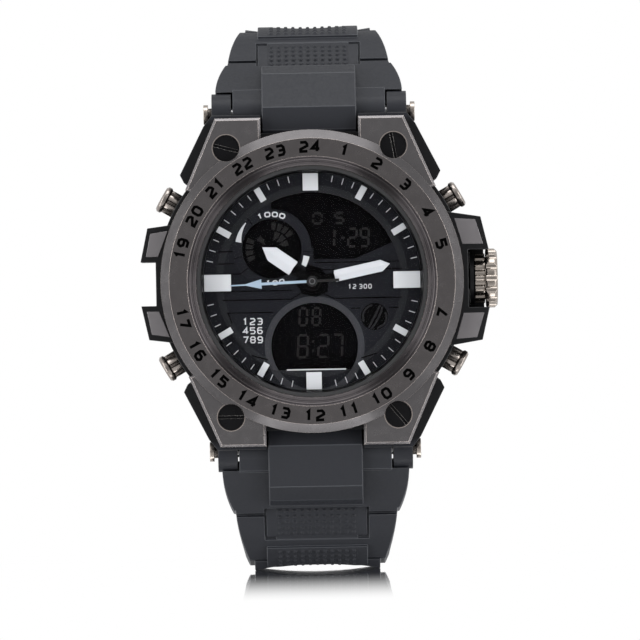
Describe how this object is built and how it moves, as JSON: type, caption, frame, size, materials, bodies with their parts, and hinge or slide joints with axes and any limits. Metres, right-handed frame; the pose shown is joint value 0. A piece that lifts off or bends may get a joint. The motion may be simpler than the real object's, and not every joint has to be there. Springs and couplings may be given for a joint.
{
  "type": "wristwatch",
  "caption": "Wristwatch with hands and digital windows under a round metal bezel with lug plates, on a stepped resin strap, with a crown and push buttons.",
  "frame": {"origin": "centre of the case back's outer face, on the axis of the hands", "axes": "+Z to twelve o'clock, +X to the crown at three o'clock, -Y out through the dial"},
  "size_m": [0.0556, 0.0687, 0.086],
  "materials": {
    "case_resin": "matt",
    "bezel_metal": "satin",
    "dark_screw": "satin",
    "pad_metal": "satin",
    "crystal_glass": "polished",
    "gasket_rubber": "matt",
    "dial_black": "matt",
    "marker_white": "satin",
    "lcd_glass": "gloss",
    "holder_plastic": "matt",
    "movement_metal": "brushed",
    "board_green": "satin",
    "battery_steel": "brushed",
    "brass_part": "turned",
    "back_steel": "brushed",
    "hand_white": "matt",
    "second_steel": "satin",
    "crown_steel": "polished",
    "pusher_steel": "polished",
    "spring_steel": "drawn",
    "strap_resin": "matt",
    "buckle_steel": "satin"
  },
  "bodies": {
    "case": {"case_body": "case_resin", "guard_pads": "pad_metal", "bezel": "bezel_metal", "bezel_screws": "dark_screw", "crystal": "crystal_glass", "crystal_gasket": "gasket_rubber", "chapter_ring": "dial_black", "dial": "dial_black", "sub_dial_ring": "dial_black", "hour_markers": "marker_white", "display_panel": "lcd_glass", "display_connectors": "gasket_rubber", "movement_holder": "holder_plastic", "circuit_board": "board_green", "analog_movement": "movement_metal", "battery": "battery_steel", "battery_clip": "spring_steel", "buzzer_disc": "brass_part", "case_back": "back_steel", "case_back_gasket": "gasket_rubber", "case_back_screws": "dark_screw", "crown_tube": "back_steel", "pusher_sleeves": "back_steel", "pusher_springs": "spring_steel", "strap_bar_upper": "spring_steel", "strap_bar_lower": "spring_steel", "strap_bar_screws": "crown_steel"},
    "hour": {"hour_hand": "hand_white", "hour_pipe": "brass_part"},
    "minute": {"minute_hand": "hand_white", "minute_pipe": "brass_part"},
    "second": {"second_hand": "second_steel", "seconds_arbor": "spring_steel"},
    "pinion": {"setting_pinion": "brass_part"},
    "crown": {"crown": "crown_steel", "crown_stem": "spring_steel", "crown_gasket": "gasket_rubber"},
    "strap_upper": {"strap_upper": "strap_resin", "buckle_bar": "spring_steel", "keeper_fixed": "strap_resin"},
    "keeper": {"keeper_loose": "strap_resin"},
    "buckle": {"buckle_frame": "buckle_steel"},
    "tongue": {"buckle_tongue": "buckle_steel"},
    "strap_lower": {"strap_lower": "strap_resin"},
    "pusher_upper_right": {"pusher_upper_right": "pusher_steel", "pusher_clip_upper_right": "spring_steel"},
    "pusher_upper_left": {"pusher_upper_left": "pusher_steel", "pusher_clip_upper_left": "spring_steel"},
    "pusher_lower_left": {"pusher_lower_left": "pusher_steel", "pusher_clip_lower_left": "spring_steel"},
    "pusher_lower_right": {"pusher_lower_right": "pusher_steel", "pusher_clip_lower_right": "spring_steel"}
  },
  "joints": [
    {"name": "minute_turn", "type": "hinge", "parent": "case", "child": "minute", "pos_m": [0, 0, 0], "axis": [0, 1, 0], "continuous": true},
    {"name": "hour_turn", "type": "hinge", "parent": "case", "child": "hour", "pos_m": [0, 0, 0], "axis": [0, 1, 0], "continuous": true},
    {"name": "second_turn", "type": "hinge", "parent": "case", "child": "second", "pos_m": [0, 0, 0], "axis": [0, 1, 0], "continuous": true},
    {"name": "crown_turn", "type": "hinge", "parent": "case", "child": "pinion", "pos_m": [0, -0.0069, 0], "axis": [1, 0, 0], "continuous": true},
    {"name": "crown_pull", "type": "slide", "parent": "pinion", "child": "crown", "axis": [1, 0, 0], "range_m": [0, 0.0008]},
    {"name": "pusher_upper_right_press", "type": "slide", "parent": "case", "child": "pusher_upper_right", "axis": [-0.866, 0, -0.5], "range_m": [0, 0.0008], "stiffness_N_per_m": 1000, "springref_m": -0.0006},
    {"name": "pusher_upper_left_press", "type": "slide", "parent": "case", "child": "pusher_upper_left", "axis": [0.866, 0, -0.5], "range_m": [0, 0.0008], "stiffness_N_per_m": 1000, "springref_m": -0.0006},
    {"name": "pusher_lower_left_press", "type": "slide", "parent": "case", "child": "pusher_lower_left", "axis": [0.866, 0, 0.5], "range_m": [0, 0.0008], "stiffness_N_per_m": 1000, "springref_m": -0.0006},
    {"name": "pusher_lower_right_press", "type": "slide", "parent": "case", "child": "pusher_lower_right", "axis": [-0.866, 0, 0.5], "range_m": [0, 0.0008], "stiffness_N_per_m": 1000, "springref_m": -0.0006},
    {"name": "strap_upper_swing", "type": "hinge", "parent": "case", "child": "strap_upper", "pos_m": [0, -0.0065, 0.02635], "axis": [1, 0, 0], "range_deg": [0, 30]},
    {"name": "strap_lower_swing", "type": "hinge", "parent": "case", "child": "strap_lower", "pos_m": [0, -0.0065, -0.02635], "axis": [-1, 0, 0], "range_deg": [0, 22]},
    {"name": "keeper_slide", "type": "slide", "parent": "strap_upper", "child": "keeper", "axis": [0, 0.5, -0.866], "range_m": [-0.0015, 0.0015]},
    {"name": "buckle_swing", "type": "hinge", "parent": "strap_upper", "child": "buckle", "pos_m": [0, 0.04741, 0.00802], "axis": [1, 0, 0], "range_deg": [-45, 30]},
    {"name": "tongue_swing", "type": "hinge", "parent": "buckle", "child": "tongue", "pos_m": [0, 0.04741, 0.00802], "axis": [1, 0, 0], "range_deg": [0, 50]}
  ],
  "couplings": [
    {"joint": "minute_turn", "follows": "second_turn", "ratio": 0.016667},
    {"joint": "hour_turn", "follows": "second_turn", "ratio": 0.0013889}
  ]
}
